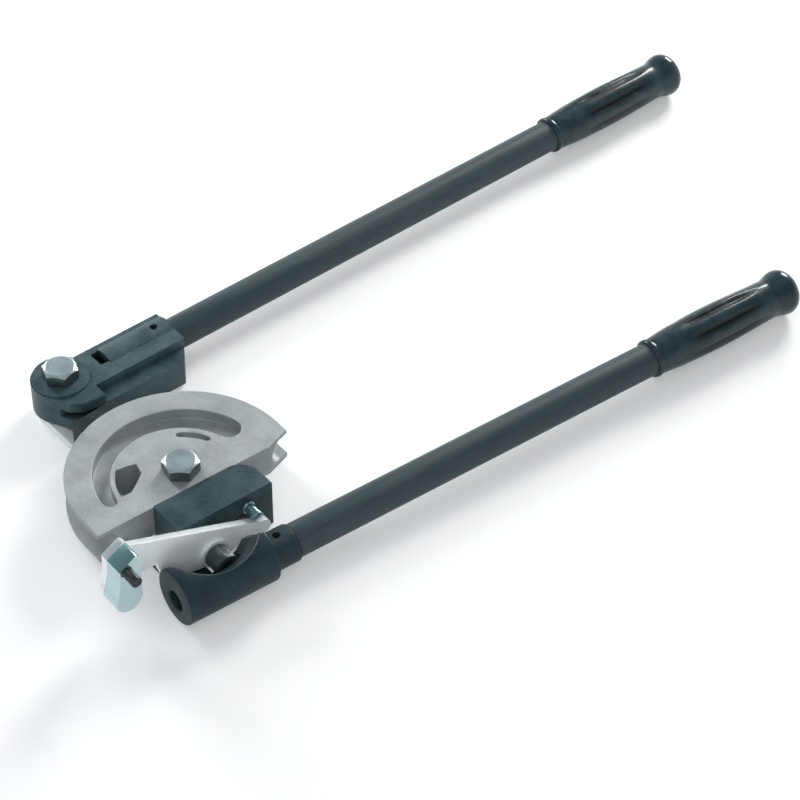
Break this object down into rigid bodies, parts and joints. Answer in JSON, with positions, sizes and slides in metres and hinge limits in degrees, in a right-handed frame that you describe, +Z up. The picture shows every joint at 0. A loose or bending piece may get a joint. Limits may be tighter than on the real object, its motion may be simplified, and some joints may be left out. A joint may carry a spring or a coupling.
{
  "type": "lever tube bender",
  "caption": "Hand lever bender for steel or stainless tube: a grooved half-round former on one handle, a swinging link with shoe and second handle, and a lifting tube latch.",
  "frame": {"origin": "foot of the centre bolt, on the plane the tool lies on", "axes": "+X along the handles to the grips, +Y from the lower handle to the lever, +Z up along the centre bolt"},
  "size_m": [0.7194, 0.301, 0.073],
  "materials": {
    "cast_aluminium": "sand cast, mottled grey, satin",
    "painted_casting": "dark slate enamel over a cast skin, satin",
    "painted_tube": "dark slate enamel on drawn steel tube, satin",
    "black_grip": "moulded black, fluted, glossy",
    "zinc_plate": "bright zinc plating",
    "bolt_steel": "zinc plated, slightly dulled",
    "bronze": "turned bearing bronze",
    "black_oxide": "black oxide, oiled"
  },
  "bodies": {
    "former_side": {"former": "cast_aluminium", "former_bush": "bronze", "former_screws": "black_oxide", "lower_head": "painted_casting", "lower_tube": "painted_tube", "lower_grip": "black_grip", "lower_roll_pin": "black_oxide", "latch_spacer": "zinc_plate", "latch_screw": "black_oxide", "latch_washer": "zinc_plate", "stop_pin": "zinc_plate"},
    "link": {"link_arm": "zinc_plate", "pivot_bolt": "bolt_steel", "pivot_washer": "bronze", "shoe": "painted_casting", "shoe_screws": "black_oxide", "lever_bolt": "bolt_steel", "lever_washer": "bronze"},
    "lever": {"lever_head": "painted_casting", "lever_bush": "bronze", "lever_tube": "painted_tube", "lever_grip": "black_grip", "lever_roll_pin": "black_oxide"},
    "latch": {"latch_plate": "zinc_plate", "latch_jaw": "zinc_plate", "jaw_pin": "black_oxide", "jaw_rivets": "zinc_plate"}
  },
  "joints": [
    {"name": "bend", "type": "hinge", "parent": "former_side", "child": "link", "pos_m": [0, 0, 0.025], "axis": [0, 0, 1], "range_deg": [-20, 85]},
    {"name": "lever_swing", "type": "hinge", "parent": "link", "child": "lever", "pos_m": [-0.01203, 0.13748, 0.02], "axis": [0, 0, 1], "range_deg": [0, 100]},
    {"name": "latch_lift", "type": "hinge", "parent": "former_side", "child": "latch", "pos_m": [-0.0185, -0.061, 0.019], "axis": [0, 1, 0], "range_deg": [0, 14]}
  ]
}
